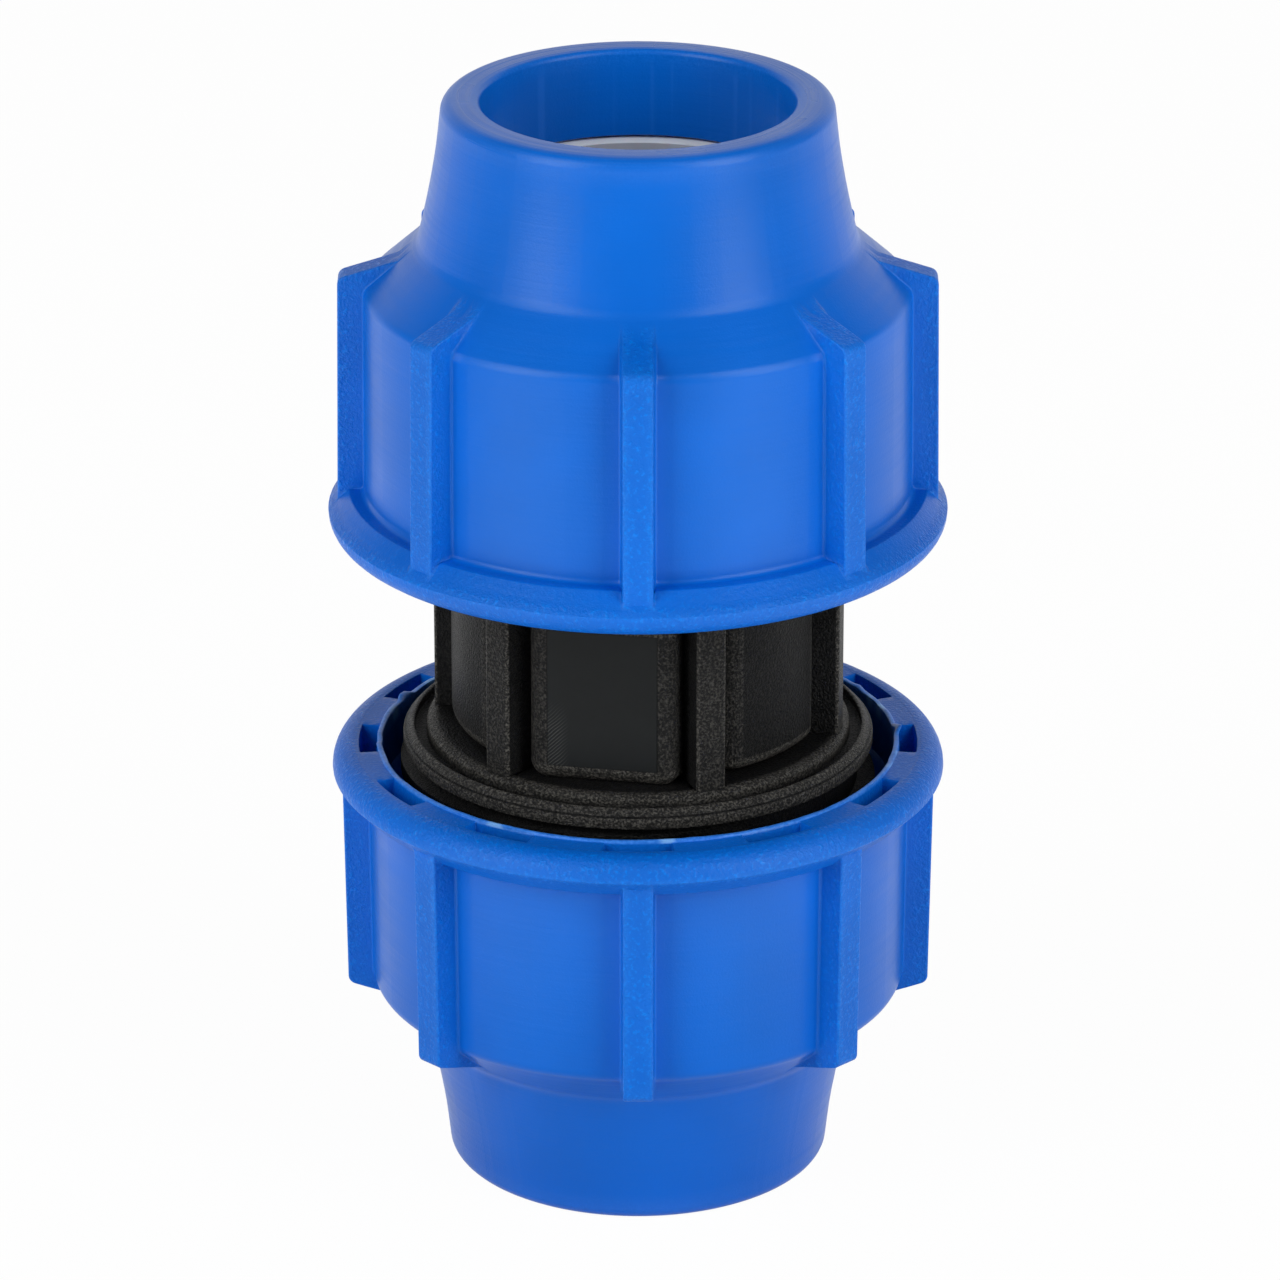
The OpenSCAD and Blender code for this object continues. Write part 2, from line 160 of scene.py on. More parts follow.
def nut_rows():
    """The closed section of a nut, from the bore over the rim, down outside and back inside."""
    rows = []

    def add(points, **marks):
        rows.extend(Row(p, **marks) for p in points)

    rim, top = (RIM_R, NUT_END), (ENTRY_R, NUT_END)
    add(arc((ENTRY_R, ENTRY_Z), top, rim, 0.6), wear=0.6)
    add(between((ENTRY_R + 0.6, NUT_END), (RIM_R - 1.3, NUT_END), 3), polish=1.0)
    add(arc(top, rim, (RIM_R + 0.35, NUT_END - 6), 1.3, 7), wear=0.25, polish=0.3)
    # The neck swells a little: distance below the end, and radius
    neck = ((3.4, 20.76), (5.2, 20.98), (7.0, 21.26), (9.0, 21.62), (11.0, 22.02), (12.8, 22.42),
            (13.6, 22.61))
    add([(r, NUT_END - t) for t, r in neck])
    add(arc((22.71, NUT_END - 14.0), (NECK_R, NECK_Z), (DRUM_R, SHOULDER_Z), 2.6, 6))
    shoulder = (DRUM_R, SHOULDER_Z)
    drum_foot = (DRUM_FOOT_R, FLANGE_TOP)
    ledge_end = (FLANGE_R - FLANGE_BEVEL, FLANGE_TOP)
    bevel_end = (FLANGE_R, FLANGE_TOP - FLANGE_BEVEL)

    # The rows that carry the grip ribs: each has a point of the drum and one of the rib's crest
    low = [RIB_START] + between(RIB_START, shoulder, 3)[:2] + between(RIB_START, shoulder, 9)[5:6]
    corner = arc(RIB_START, shoulder, drum_foot, 1.5, 6)
    foot = arc(shoulder, drum_foot, ledge_end, 0.6)
    edge = arc(drum_foot, ledge_end, bevel_end, 0.3, 2)
    drum = between(corner[-1], foot[0], 12)
    corner_rows = range(len(low), len(low) + len(corner))
    low = low + corner + drum + foot + between(foot[-1], edge[0], 1) + edge + [RIB_FOOT]
    crest = arc(RIB_START, RIB_TOP, RIB_FOOT, 0.95, 6)
    high = [RIB_START] + between(RIB_START, crest[0], 3) + crest
    drops = [1 - (p[1] - FLANGE_TOP) / (corner[-1][1] - FLANGE_TOP) for p in drum]
    ends = np.linspace(DRUM_SHARE, 1.0, len(foot) + 1 + len(edge) + 1)
    line = np.array(RIB_FOOT) - np.array(crest[-1])
    high += [tuple(np.array(crest[-1]) + line * DRUM_SHARE * d) for d in drops]
    high += [tuple(np.array(crest[-1]) + line * e) for e in ends]
    for i, (a, b) in enumerate(zip(low, high)):
        grain = 0.0 if i < len(low) - len(foot) else 0.35
        # Painted highlight on the ribs' crests where they bend over the drum's corner.
        rib_wear = 0.8 if i in corner_rows else 0.0
        rows.append(Row(a, rib=b, grain=grain, rib_wear=rib_wear))

    add(between(RIB_FOOT, bevel_end, 1), grain=1.0)
    add(arc(ledge_end, bevel_end, (FLANGE_R, NUT_FACE), 0.12, 2), wear=0.8, grain=1.0)
    add(arc(bevel_end, (FLANGE_R, NUT_FACE), (MOUTH_R, NUT_FACE), FLANGE_ROUND, 9)[1:],
        grain=1.0)

    # The open face: a narrow band, the row of pockets, and the thin lip at the mouth
    for r, pocket, wear in ((30.14, 0, 0), (30.0, 0, 0.3), (29.94, 0.012, 1), (29.9, 0.06, 0.6),
                            (29.84, 0.975, 0), (29.66, 1, 0), (28.95, 1, 0), (28.26, 1, 0),
                            (28.1, 0.975, 0), (28.0, 0.03, 0.4)):
        rows.append(Row((r, NUT_FACE), pocket=pocket, wear=wear, grain=0.6))
    for r, lift, drop in ((27.96, 0.35, 0), (27.9, 0.85, 0), (27.8, 1.0, 0), (27.62, 1.0, 0),
                          (27.45, 0.85, 0), (27.37, 0.4, 0), (MOUTH_R, 0, 0.2)):
        rows.append(Row((r, NUT_FACE + drop), lip=lift, wear=0.7, flash=1.0))

    # The inside, from the mouth to the seat of the grip ring and the pipe's entry
    add([(MOUTH_R, NUT_FACE + 1.5), (MOUTH_R, MOUTH_Z)], inside=1.0)
    first, last = (NUT_ROOT_R, MOUTH_Z + MOUTH_LEAD), (NUT_ROOT_R, STEP_Z - STEP_LEAD)
    add([first] + between(first, last, 5) + [last], inside=1.0)
    add([(NUT_ROOT_R - STEP_LEAD, STEP_Z), (SEAT_FOOT_R, STEP_Z)], inside=1.0)
    add([((SEAT_FOOT_R + SEAT_R) / 2, (STEP_Z + ENTRY_Z) / 2), (SEAT_R, ENTRY_Z - 0.1)],
        inside=1.0)
    add([(SEAT_R - 0.1, ENTRY_Z), (ENTRY_R + 0.1, ENTRY_Z), (ENTRY_R, ENTRY_Z + 0.1)], inside=1.0)
    add(between((ENTRY_R, ENTRY_Z + 0.1), (ENTRY_R, NUT_END - 0.6), 4), inside=1.0)
    return rows


def nut_columns():
    """A quarter of the nut's columns: (angle, offset from a rib's middle or None, pocket)."""
    columns = [(0.0, x, 1.0) for x in RIB_OFFSETS]

    def wall(middle, side):
        steps = [(middle + side * (POCKET_HALF + a), None, c) for a, c in POCKET_WALL]
        return steps if side > 0 else steps[::-1]

    columns += wall(0.0, 1)
    columns += [(a, None, 0.0) for a in (9.4, 11.9, 14.4, 15.6, 18.1, 20.6)]
    columns += wall(30.0, -1)
    columns += [(a, None, 1.0) for a in (25.0, 27.5, 30.0, 32.5, 35.0)]
    columns += wall(30.0, 1)
    columns += [(45.0, -x, 0.0) for x in RIB_OFFSETS[::-1]]
    mirrored = [((90.0 - a) if x is None else {0.0: 90.0, 45.0: 45.0}[a],
                 x if x is None else -x, c) for a, x, c in columns[-2::-1]]
    return columns + mirrored


def rib_profile(offset, low, high):
    """Height over the axis of a rib's cross-section at a sideways offset from its middle."""
    a = abs(offset)
    base = math.sqrt(max(low * low - a * a, 0))
    rise = max(high - base, 0)
    edge_rise, fillet_rise = min(RIB_EDGE, 0.4 * rise), min(RIB_FILLET, 0.4 * rise)
    if a <= RIB_HALF:
        t = min(max((a - (RIB_HALF - RIB_EDGE)) / RIB_EDGE, 0), 1)
        y = base + rise - edge_rise * (1 - math.sqrt(1 - t * t))
    else:
        t = min(max((RIB_FOOT_HALF + RIB_FILLET - a) / RIB_FILLET, 0), 1)
        y = base + fillet_rise * (1 - math.sqrt(1 - t * t))
    return y, (y - base) / rise if rise > 1e-6 else 0.0


def nut_point(row, column):
    """A point of the nut's skin, with the marks that its finish reads."""
    angle, offset, pocket = column
    marks = dict(row.marks)
    rib_wear = marks.pop("rib_wear", 0.0)
    r, z, turn = row.r, row.z, angle
    if offset is not None and row.rib:
        y, share = rib_profile(offset, row.r, row.rib[0])
        r, turn = math.hypot(offset, y), angle + math.degrees(math.atan2(offset, y))
        z = row.z + share * (row.rib[1] - row.z)
        # The rib's edges and its bend over the drum's corner get a lighter mark: painted highlight.
        on_edge = 1.3 < abs(offset) < RIB_HALF
        marks["grain"] = max(marks.get("grain", 0), min(share * 3, 1))
        marks["wear"] = max(rib_wear if abs(offset) < RIB_HALF else 0, 0.9 if on_edge else 0) \
            * min(share * 4, 1)
    elif offset is not None:
        turn = angle + math.degrees(math.asin(offset / max(r, RIB_START[0])))
    if row.pocket:
        marks["wear"] *= pocket
    a = math.radians(turn)
    z += POCKET_DEPTH * row.pocket * pocket
    return (r * math.cos(a), r * math.sin(a), z), marks, row.lip


# ---- the body's skin ----

# Each kind of pad: the height of its face over the axis, half its width, the round of its edges
PADS = {"flat": (19.6, 5.95, 2.0), "side": (19.9, 5.6, 1.6)}
# Where their faces end along the axis, and the shares of an edge's round at which columns lie
PAD_END = 7.6
PAD_ARC = (0.0, 0.03, 0.2, 0.36, 0.51, 0.65, 0.78, 0.88, 0.95, 1.0)
BODY_RIB_OFFSETS = (-1.70, -1.62, -1.58, -1.50, -1.38, -1.2, -0.5, 0.5, 1.2, 1.38, 1.50, 1.58,
                    1.62, 1.70)


def pad_height(kind, y, z):
    """Height over the axis of a pad's surface, whose edges and corners are rounded."""
    top, half, rounding = PADS[kind]
    face = top if kind == "flat" else math.sqrt(top * top - y * y)
    away = math.hypot(max(y - half, 0), max(z - PAD_END, 0)) / rounding
    if away < 1:
        drop = rounding * (1 - math.sqrt(1 - away * away))
    else:
        drop = rounding * (1 + 5 * (away - 1))
    return max(face - drop, math.sqrt(WAIST_R ** 2 - y * y))


def pad_foot(kind):
    """Where the slot beside a pad ends at the next rib: height over the axis and sideways."""
    _, half, rounding = PADS[kind]
    turn = math.radians(PAD_RIB_ANGLE if kind == "flat" else (90 - PAD_RIB_ANGLE) / 2)
    y = half + rounding
    return (y + BODY_RIB_OFFSETS[-1] / math.cos(turn)) / math.tan(turn), y, turn


def body_columns():
    """Half of the body's columns: (middle angle, part, place in the part)."""
    def half_pad(kind, middle, side):
        _, half, rounding = PADS[kind]
        face = [half * s for s in (0.0, 0.2, 0.4, 0.6, 0.8, 0.97)]
        points = [(middle, kind, (side, y, None)) for y in face]
        points += [(middle, kind, (side, half + rounding * t, t)) for t in PAD_ARC]
        points.append((middle, kind, (side, half + rounding, "foot")))
        return points if side > 0 else points[::-1]

    def rib(middle):
        return [(middle, "rib", x) for x in BODY_RIB_OFFSETS]

    first, second = (90 + PAD_RIB_ANGLE) / 2, 180 - (90 + PAD_RIB_ANGLE) / 2
    columns = half_pad("flat", 0, 1) + rib(PAD_RIB_ANGLE)
    columns += half_pad("side", first, -1) + half_pad("side", first, 1)[1:] + rib(90)
    columns += half_pad("side", second, -1) + half_pad("side", second, 1)[1:]
    columns += rib(180 - PAD_RIB_ANGLE) + half_pad("flat", 180, -1)
    return columns


def waist_point(z, column):
    """Radius, angle and marks of the waist's section at a height."""
    middle, part, place = column
    if part == "rib":
        top = BODY_RIB_R
        a = abs(place)
        if a > 1.65:
            inner = middle in (PAD_RIB_ANGLE, 180 - PAD_RIB_ANGLE) \
                and (place < 0) == (middle < 90)
            x, y, turn = pad_foot("flat" if inner else "side")
            y = x * math.cos(turn) + y * math.sin(turn)
        elif a > 1.6:
            y = top - 0.42
        else:
            t = min(max((a - 1.2) / 0.4, 0), 1)
            y = top - 0.4 * (1 - math.sqrt(1 - t * t))
        # The rib's edges and crest are lightened: painted highlight and painted light.
        x, marks = place, {"wear": 0.8 if 1.2 < a < 1.6 else 0.0, "smooth": 0.0,
                           "lit": 0.4 if a < 1.6 else 0.0}
    else:
        side, across, t = place
        rounding = PADS[part][2]
        x = side * across
        y = pad_foot(part)[0] if t == "foot" else pad_height(part, across, z)
        on_face = t is None and z < PAD_END
        # Painted light on the pad's rounds, full on the bottom round and less on the sides, and a
        # painted highlight along the face's edge.
        round_lit = 1.0 if z >= PAD_END else 0.0 if on_face else 0.4
        marks = {"wear": 0.4 if t == 0.03 else 0.0,
                 "smooth": 1.0 if on_face and part == "flat" else 0.0,
                 "lit": 0.0 if t == "foot" or z > PAD_END + rounding * 0.8 else round_lit}
    return math.hypot(x, y), middle + math.degrees(math.atan2(x, y)), marks


# Radii of the ledge's rows, which stay outside the waist's section
LEDGE_RINGS = (0.0, LEDGE_START, 21.75, 22.15, 22.38, 22.52, 22.58, LEDGE_R)


def ledge_rise(r):
    """How far the ledge's round has come down at a radius."""
    t = min(max((r - LEDGE_START) / (LEDGE_R - LEDGE_START), 0), 1)
    return 0.6 * (1 - math.sqrt(1 - t * t))


def body_half_rows():
    """Half of the body's closed section, from the outside of the waist to the pipe stop."""
    heights = (0.0, 2.0, 4.0, 5.6, 6.8, 7.3, 7.5, 7.59, 7.65, 7.9, 8.15, 8.4, 8.65, 8.9, 9.1,
               9.25)
    rows = [("waist", z, {}) for z in heights]
    rows += [("ledge", value, {}) for value in LEDGE_RINGS]
    # Rows of the ledge, collar, thread, chamber, socket and stop: radius, height, and a lighter
    # mark on their rounds and bands, which is painted light.
    ring = [(LEDGE_R, 10.85, 0), (LEDGE_R + 0.08, 10.95, 0),
            (23.82, 10.95, 0), (23.9, 10.87, 0), (23.9, 10.16, 0.2), (23.94, 10.06, 0.7),
            (24.04, 10.0, 0.7), (24.2, 10.0, 0.7), (24.3, 10.04, 0.7), (24.78, 10.52, 0.5),
            (24.84, 10.6, 0.5), (24.86, 10.68, 0), (24.86, 10.76, 0), (24.92, 10.8, 0),
            (25.06, 10.83, 0.6), (25.13, 10.9, 0.7), (COLLAR_R, 11.0, 0.7),
            (COLLAR_R, 11.8, 0.5), (25.1, 11.95, 0.5), (25.0, COLLAR_Z, 0),
            (ROOT_R + 0.1, COLLAR_Z, 0), (ROOT_R, COLLAR_Z + 0.1, 0),
            (ROOT_R, 17.0, 0), (ROOT_R, 23.0, 0), (ROOT_R, THREAD_END, 0),
            (ROOT_R + 0.05, BODY_END - 0.8, 0.5), (ROOT_R - 0.8, BODY_END, 0.7),
            (CHAMBER_R + 0.6, BODY_END, 0.5), (CHAMBER_R, BODY_END - 0.6, 0.3),
            (CHAMBER_R, 25.0, 0), (CHAMBER_R, CHAMBER_Z, 0), (SOCKET_R, CHAMBER_Z, 0.4),
            (SOCKET_R, 14.0, 0), (SOCKET_R, 8.0, 0), (SOCKET_R, 2.0, 0), (STOP_R + 0.6, 2.0, 0.5),
            (STOP_R, 1.4, 0.5), (STOP_R, 0.0, 0)]
    rows += [("ring", r, {"z": z, "wear": wear}) for r, z, wear in ring]
    return rows


def body_grid():
    """Points and marks of half the body's skin, row by row."""
    columns = body_columns()
    foot = [waist_point(WAIST_HALF, c) for c in columns]
    half = []
    for kind, value, marks in body_half_rows():
        row = []
        for column, (foot_r, foot_turn, _) in zip(columns, foot):
            if kind == "waist":
                r, turn, own = waist_point(value, column)
                z = value
            elif kind == "ledge":
                r = max(foot_r + 0.04 * (1 + LEDGE_RINGS.index(value)), value)
                turn, z = foot_turn, WAIST_HALF + ledge_rise(r)
                own = {"lit": 1.0 if value > LEDGE_START else 0.0}
            else:
                r, turn, own, z = value, foot_turn, {"wear": marks["wear"]}, marks["z"]
            row.append((r, turn, z, own))
        half.append(row)
    below = [[(r, turn, -z, own) for r, turn, z, own in row] for row in half[-2:0:-1]]
    grid = []
    for row in half + below:
        points = []
        for r, turn, z, own in row:
            a = math.radians(turn)
            points.append(((r * math.cos(a), r * math.sin(a), z), own, 0.0))
        grid.append(points)
    return grid[::-1]


# ---- meshes ----

# The edge mark lightens edges and bands: partly rubbing, partly painted highlight. On the body it
# is painted light only, like the lit mark.
NUT_MARKS = ("wear", "grain", "polish", "flash", "inside", "lip")
BODY_MARKS = ("wear", "smooth", "lit")


def skin_mesh(name, grid, marks):
    """A mesh from rows of points whose last row meets the first, with a number per mark."""
    count = len(grid[0])
    points = [p for row in grid for p, _, _ in row]
    faces = []
    for i in range(len(grid)):
        below = (i + 1) % len(grid)
        for j in range(count - 1):
            faces.append([i * count + j, below * count + j, below * count + j + 1,
                          i * count + j + 1])
    mesh = bpy.data.meshes.new(name)
    mesh.from_pydata([tuple(c * MM for c in p) for p in points], [], faces)
    for key in marks:
        values = [(lip if key == "lip" else own.get(key, 0.0))
                  for row in grid for _, own, lip in row]
        layer = mesh.attributes.new(key, "FLOAT", "POINT")
        layer.data.foreach_set("value", values)
    return mesh


def tree_with_inputs(name, inputs):
    """A geometry tree with a geometry in and out and the named inputs."""
    tree = bpy.data.node_groups.new(name, "GeometryNodeTree")
    tree.interface.new_socket("Geometry", in_out="INPUT", socket_type="NodeSocketGeometry")
    for label, kind in inputs:
        tree.interface.new_socket(label, in_out="INPUT", socket_type=kind)
    tree.interface.new_socket("Geometry", in_out="OUTPUT", socket_type="NodeSocketGeometry")
    return tree


class Weaver:
    """Adds nodes to a node tree, each with its settings and what its sockets get."""

    def __init__(self, tree):
        self.tree = tree

    def node(self, kind, settings=None, **sockets):
        made = self.tree.nodes.new(kind)
        for key, value in (settings or {}).items():
            setattr(made, key, value)
        for key, value in sockets.items():
            wanted = key.replace("_", " ").lower()
            self.feed(value, next(s for s in made.inputs
                                  if s.enabled and s.name.lower() == wanted))
        return made

    def feed(self, value, socket):
        """Gives a socket a link or a value of its own."""
        if isinstance(value, Reading):
            value = value.socket
        if isinstance(value, bpy.types.NodeSocket):
            self.tree.links.new(value, socket)
        else:
            socket.default_value = value

    def read(self, kind, settings=None, **sockets):
        return Reading(self, self.node(kind, settings, **sockets).outputs[0])


class Reading:
    """A number in a node tree that takes part in sums written in Python."""

    def __init__(self, weaver, socket):
        self.weaver = weaver
        self.socket = socket

    def _math(self, operation, *values):
        made = self.weaver.node("ShaderNodeMath", {"operation": operation})
        for value, socket in zip(values, made.inputs):
            self.weaver.feed(value, socket)
        return Reading(self.weaver, made.outputs[0])

    def __add__(self, other):
        return self._math("ADD", self, other)

    def __radd__(self, other):
        return self._math("ADD", other, self)

    def __sub__(self, other):
        return self._math("SUBTRACT", self, other)

    def __rsub__(self, other):
        return self._math("SUBTRACT", other, self)

    def __mul__(self, other):
        return self._math("MULTIPLY", self, other)

    def __rmul__(self, other):
        return self._math("MULTIPLY", other, self)

    def __truediv__(self, other):
        return self._math("DIVIDE", self, other)

    def __pow__(self, other):
        return self._math("POWER", self, other)

    def smallest(self, other):
        return self._math("MINIMUM", self, other)

    def largest(self, other):
        return self._math("MAXIMUM", self, other)

    def wave(self):
        return self._math("SINE", self)

    def ramp(self, low, high):
        """0 at low, 1 at high and smooth between them."""
        return self.weaver.read("ShaderNodeMapRange", {"interpolation_type": "SMOOTHSTEP"},
                                Value=self, From_Min=low, From_Max=high)


def repeat_tree():
    """A tree that repeats a slice of a moulding round the axis."""
    tree = tree_with_inputs("Repeat Round Axis", (("Copies", "NodeSocketInt"),
                                                  ("Finish", "NodeSocketMaterial")))
    w = Weaver(tree)
    given = w.node("NodeGroupInput").outputs
    points = w.read("GeometryNodePoints", Count=given["Copies"])
    turn = w.read("GeometryNodeInputIndex") * (2 * math.pi) / Reading(w, given["Copies"])
    rotation = w.read("ShaderNodeCombineXYZ", Z=turn)
    placed = w.read("GeometryNodeInstanceOnPoints", Points=points, Instance=given["Geometry"],
                    Rotation=rotation)
    solid = w.read("GeometryNodeRealizeInstances", Geometry=placed)
    done = w.read("GeometryNodeSetMaterial", Geometry=solid, Material=given["Finish"])
    w.node("NodeGroupOutput", Geometry=done)
    return tree


def thread_tree():
    """A tree that winds a thread's ridge round the axis and fades it out at both ends."""
    numbers = ("Turns", "Pitch", "Radius", "Depth", "Root Width", "Crest Width", "Bed", "Fade")
    tree = tree_with_inputs("Screw Thread", [(name, "NodeSocketFloat") for name in numbers]
                            + [("Finish", "NodeSocketMaterial")])
    w = Weaver(tree)
    given = w.node("NodeGroupInput").outputs

    def value(name):
        return Reading(w, given[name])

    rise = value("Turns") * value("Pitch")
    winding = w.node("GeometryNodeCurveSpiral", Resolution=2 * TURN_STEPS, Rotations=given["Turns"],
                     Start_Radius=given["Radius"], End_Radius=given["Radius"], Height=rise)
    winding.inputs["Reverse"].default_value = True
    upright = w.read("GeometryNodeSetCurveNormal", {"mode": "Z_UP"}, Curve=winding.outputs[0])
    section = w.node("GeometryNodeCurvePrimitiveQuadrilateral", {"mode": "POINTS"})
    corners = ((0 - value("Bed"), value("Root Width") / -2),
               (value("Depth"), value("Crest Width") / -2),
               (value("Depth"), value("Crest Width") / 2),
               (0 - value("Bed"), value("Root Width") / 2))
    for k, (across, along) in enumerate(corners):
        corner = w.read("ShaderNodeCombineXYZ", X=across, Y=along)
        w.feed(corner, section.inputs[f"Point {k + 1}"])
    place = w.read("GeometryNodeSplineParameter")
    fade = (place / value("Fade")).smallest((1 - place) / value("Fade"))
    fade = fade.smallest(1).largest(0.05)
    ridge = w.read("GeometryNodeCurveToMesh", Curve=upright, Profile_Curve=section.outputs[0],
                   Scale=fade, Fill_Caps=True)
    solid = w.read("GeometryNodeRealizeInstances", Geometry=ridge)
    done = w.read("GeometryNodeSetMaterial", Geometry=solid, Material=given["Finish"])
    w.node("NodeGroupOutput", Geometry=done)
    return tree


def grown(name, mesh, tree, values):
    """Runs a geometry tree over a mesh and gives the plain mesh that it makes."""
    carrier = bpy.data.objects.new(name, mesh)
    bpy.context.scene.collection.objects.link(carrier)
    modifier = carrier.modifiers.new(tree.name, "NODES")
    modifier.node_group = tree
    for item in tree.interface.items_tree:
        if item.item_type == "SOCKET" and item.in_out == "INPUT" and item.name in values:
            modifier[item.identifier] = values[item.name]
    depsgraph = bpy.context.evaluated_depsgraph_get()
    result = bpy.data.meshes.new_from_object(carrier.evaluated_get(depsgraph),
                                             preserve_all_data_layers=True, depsgraph=depsgraph)
    carrier.modifiers.remove(modifier)
    bpy.data.objects.remove(carrier)
    return result


def thread_mesh(name, root, depth, root_width, crest_width, first, start, steps, finish):
    """A thread's ridge in the frame of one end, from its first angle and starting height."""
    lean = (root_width - crest_width) / abs(depth)
    values = {"Turns": steps / TURN_STEPS, "Pitch": THREAD_PITCH * MM, "Radius": root * MM,
              "Depth": depth * MM, "Root Width": (root_width + lean * THREAD_BED) * MM,
              "Crest Width": crest_width * MM, "Bed": math.copysign(THREAD_BED, depth) * MM,
              "Fade": FADE_STEPS / steps, "Finish": finish}
    mesh = grown(name, bpy.data.meshes.new(name), thread_tree(), values)
    mesh.transform(Matrix.Translation((0, 0, start * MM))
                   @ Matrix.Rotation(math.radians(first), 4, "Z"))
    return mesh


def thread_course(low, high, root_half):
    """The height at which a ridge between two heights starts, and the steps of its winding."""
    start = low + root_half + THREAD_START
    length = high - root_half - THREAD_START - start
    return start, math.floor(length / THREAD_PITCH * TURN_STEPS)


def joined(name, meshes, finish):
    """One mesh from several, with its doubles merged and its faces turned outward."""
    work = bmesh.new()
    for mesh in meshes:
        part = bmesh.new()
        part.from_mesh(mesh)
        bmesh.ops.remove_doubles(part, verts=part.verts, dist=MERGE_DISTANCE)
        bmesh.ops.recalc_face_normals(part, faces=part.faces)
        part.to_mesh(mesh)
        part.free()
        work.from_mesh(mesh)
    result = bpy.data.meshes.new(name)
    work.to_mesh(result)
    work.free()
    result.materials.append(finish)
    result.polygons.foreach_set("material_index", [0] * len(result.polygons))
    return result


def at_end(upper):
    """Where the frame of an end lies: pointing up, or turned over about X and pointing down."""
    turn = Matrix.Identity(4) if upper else Matrix.Rotation(math.pi, 4, "X")
    return Matrix.Translation((0, 0, MIDDLE * MM)) @ turn


def piece(name, mesh, place, body, nodes):
    """Puts a finished mesh in its place and ties it to a body and the nodes it covers."""
    mesh.transform(place)
    mesh.shade_smooth()
    mesh.set_sharp_from_angle(angle=math.radians(SHARP_ANGLE))
    made = bpy.data.objects.new(name, mesh)
    bpy.context.scene.collection.objects.link(made)
    weigh = made.modifiers.new("Weighted Normals", "WEIGHTED_NORMAL")
    weigh.keep_sharp = True
    weigh.weight = 60
    depsgraph = bpy.context.evaluated_depsgraph_get()
    final = bpy.data.meshes.new_from_object(made.evaluated_get(depsgraph),
                                            preserve_all_data_layers=True, depsgraph=depsgraph)
    made.modifiers.remove(weigh)
    made.data = final
    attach(made, body)
    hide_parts(*nodes)
    return made


def wave_lip(mesh, rise, seed):
    """Raises the thin flash at the mouth unevenly, as the mould left it."""
    lips = np.zeros(len(mesh.vertices))
    mesh.attributes["lip"].data.foreach_get("value", lips)
    for vertex, lip in zip(mesh.vertices, lips):
        if lip <= 0:
            continue
        r = math.hypot(vertex.co.x, vertex.co.y)
        around = Vector((vertex.co.x / r, vertex.co.y / r, seed))
        slow = noise.noise(around * 3.1)
        quick = noise.noise(around * 13.0)
        nick = max(0.0, noise.noise(around * 6.0 + Vector((5, 3, 0))) - 0.28) * 2.2
        curl = max(0.0, noise.noise(around * 7.0 + Vector((1, 9, 0))) - 0.2) * 4.0
        height = rise * max(1 + 0.6 * slow + 0.5 * quick - nick + curl, 0)
        sway = (0.12 * slow + 0.16 * quick + 0.3 * curl) * MM
        vertex.co.z -= lip * height
        vertex.co.x *= 1 + lip * sway / r
        vertex.co.y *= 1 + lip * sway / r


# ---- finishes ----

PLASTIC_IOR, ACETAL_IOR, RUBBER_IOR = 1.49, 1.48, 1.5


def bare_material(name):
    """A material without nodes, and a weaver for them."""
    material = bpy.data.materials.new(name)
    material.use_nodes = True
    material.node_tree.nodes.clear()
    return material, Weaver(material.node_tree)


def surface(w, tone, rough, height, depth, **plain):
    """Ends a material: its colour, roughness and relief, and what is the same all over it."""
    bump = w.node("ShaderNodeBump", Height=height, Distance=depth)
    shader = w.node("ShaderNodeBsdfPrincipled", Base_Color=tone, Roughness=rough,
                    Normal=bump.outputs[0], **plain)
    w.node("ShaderNodeOutputMaterial", Surface=shader.outputs[0])


def mark(w, name):
    """A number that the skin carries."""
    return Reading(w, w.node("ShaderNodeAttribute", {"attribute_name": name}).outputs["Fac"])


def blend(w, factor, first, second):
    """A colour between two colours."""
    made = w.node("ShaderNodeMix", {"data_type": "RGBA"})
    sockets = {s.identifier: s for s in (*made.inputs, *made.outputs)}
    w.feed(factor, sockets["Factor_Float"])
    for key, colour in (("A_Color", first), ("B_Color", second)):
        plain = not isinstance(colour, bpy.types.NodeSocket)
        w.feed((*colour[:3], 1.0) if plain else colour, sockets[key])
    return sockets["Result_Color"]


def axis_place(w):
    """Object coordinates, each of the three as a number, and the radius from the axis."""
    place = w.node("ShaderNodeTexCoord").outputs["Object"]
    split = w.node("ShaderNodeSeparateXYZ", Vector=place)
    x, y, z = (Reading(w, split.outputs[k]) for k in "XYZ")
    radius = (x * x + y * y) ** 0.5
    return place, x, y, z, radius


def grain(w, vector, scale, detail=2.0, roughness=0.5):
    """Noise from 0 to 1."""
    return w.read("ShaderNodeTexNoise", Vector=vector, Scale=scale, Detail=detail,
                  Roughness=roughness)


def darker(colour, factor):
    """A colour times a factor."""
    return tuple(c * factor for c in colour[:3])


